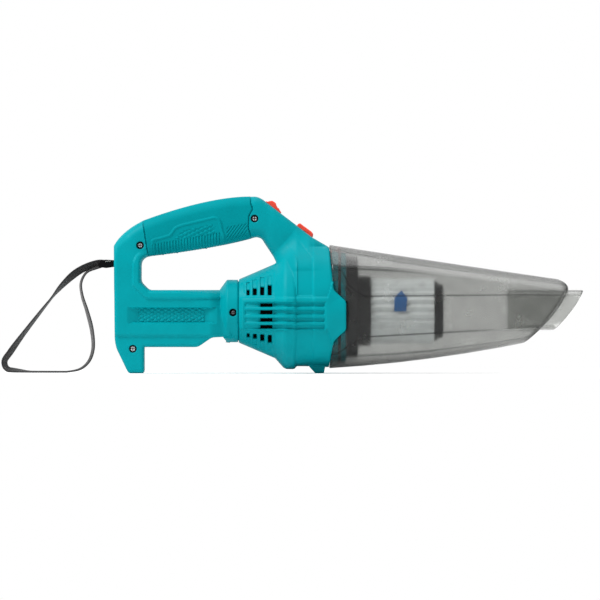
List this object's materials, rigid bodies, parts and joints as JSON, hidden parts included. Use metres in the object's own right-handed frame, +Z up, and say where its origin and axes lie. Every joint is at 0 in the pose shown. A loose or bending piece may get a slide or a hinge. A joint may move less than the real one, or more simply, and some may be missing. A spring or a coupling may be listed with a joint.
{
  "type": "handheld vacuum",
  "caption": "Cordless handheld vacuum with a loop handle, slide switch, latched see-through dust cup, slanted intake tube, pleated filter and wrist strap.",
  "frame": {"origin": "on the floor, midway along the vacuum from its rear wall to the tip of its intake tube, and midway across it; the wrist strap isn't counted", "axes": "+X from the handle towards the intake, along the motor's axis; +Z up, standing on the rear foot and the front foot; +Y to the user's left"},
  "size_m": [0.5793, 0.1124, 0.1763],
  "materials": {
    "housing_plastic": "moulded teal plastic, fine satin texture",
    "grip_overmould": "teal soft-touch overmould with a small diamond pattern",
    "red_plastic": "coral red moulded plastic",
    "smoked_plastic": "clear smoke-grey plastic, glossy",
    "black_plastic": "black moulded plastic",
    "magnet": "dark ferrite",
    "steel": "plain steel",
    "copper": "copper and bronze",
    "seal_rubber": "black rubber",
    "filter_media": "white pleated filter paper",
    "webbing": "black woven polyester webbing",
    "red_lead": "red wire insulation",
    "black_lead": "black wire insulation"
  },
  "bodies": {
    "housing": {"housing_right": "housing_plastic", "housing_left": "housing_plastic", "grip_pad_right": "grip_overmould", "grip_pad_left": "grip_overmould", "housing_screw_1": "steel", "housing_screw_2": "steel", "housing_screw_3": "steel", "housing_screw_4": "steel", "strap_pin": "steel", "wrist_strap": "webbing", "battery_terminal_block": "black_plastic", "terminal_blade_1": "copper", "terminal_blade_2": "copper", "terminal_blade_3": "copper", "lead_battery_to_switch": "red_lead", "lead_switch_to_motor": "red_lead", "lead_battery_to_motor": "black_lead", "motor_can": "steel", "motor_end_cap": "black_plastic", "motor_magnet_right": "magnet", "motor_magnet_left": "magnet", "motor_bush_rear": "copper", "motor_bush_front": "copper", "motor_damper": "seal_rubber", "motor_mount": "black_plastic", "cup_spigot": "housing_plastic", "cup_seal": "seal_rubber", "switch_body": "black_plastic", "latch_pin": "steel", "latch_spring": "steel"},
    "switch_knob": {"power_switch": "red_plastic"},
    "release_lever": {"release_latch": "red_plastic", "latch_hook": "red_plastic"},
    "cup": {"dust_cup": "smoked_plastic", "intake_nozzle": "smoked_plastic"},
    "filter_carrier": {"filter_holder": "black_plastic"},
    "filter": {"filter_base_ring": "black_plastic", "filter_pleats": "filter_media", "filter_end_cap": "black_plastic"},
    "fan_rotor": {"motor_shaft": "steel", "armature": "copper", "commutator": "copper", "impeller": "black_plastic", "impeller_nut": "steel"}
  },
  "joints": [
    {"name": "power_switch_slide", "type": "slide", "parent": "housing", "child": "switch_knob", "axis": [0.7955, 0, -0.606], "range_m": [0, 0.006]},
    {"name": "latch_press", "type": "hinge", "parent": "housing", "child": "release_lever", "pos_m": [-0.05932, 0, 0.1432], "axis": [0, 1, 0], "range_deg": [0, 4], "stiffness_Nm_per_rad": 0.5, "springref_deg": -2.86, "deforming": ["latch_spring"]},
    {"name": "cup_slide", "type": "slide", "parent": "housing", "child": "cup", "axis": [1, 0, 0], "range_m": [0, 0.16], "deforming": ["latch_hook"]},
    {"name": "filter_pull", "type": "slide", "parent": "housing", "child": "filter_carrier", "axis": [1, 0, 0], "range_m": [0, 0.08]},
    {"name": "filter_twist", "type": "hinge", "parent": "filter_carrier", "child": "filter", "pos_m": [0.0013, 0, 0.062], "axis": [1, 0, 0], "range_deg": [0, 35]},
    {"name": "fan_spin", "type": "hinge", "parent": "housing", "child": "fan_rotor", "pos_m": [-0.0693, 0, 0.062], "axis": [1, 0, 0], "continuous": true}
  ],
  "couplings": [
    {"joint": "filter_pull", "follows": "cup_slide", "ratio": 0.5}
  ]
}
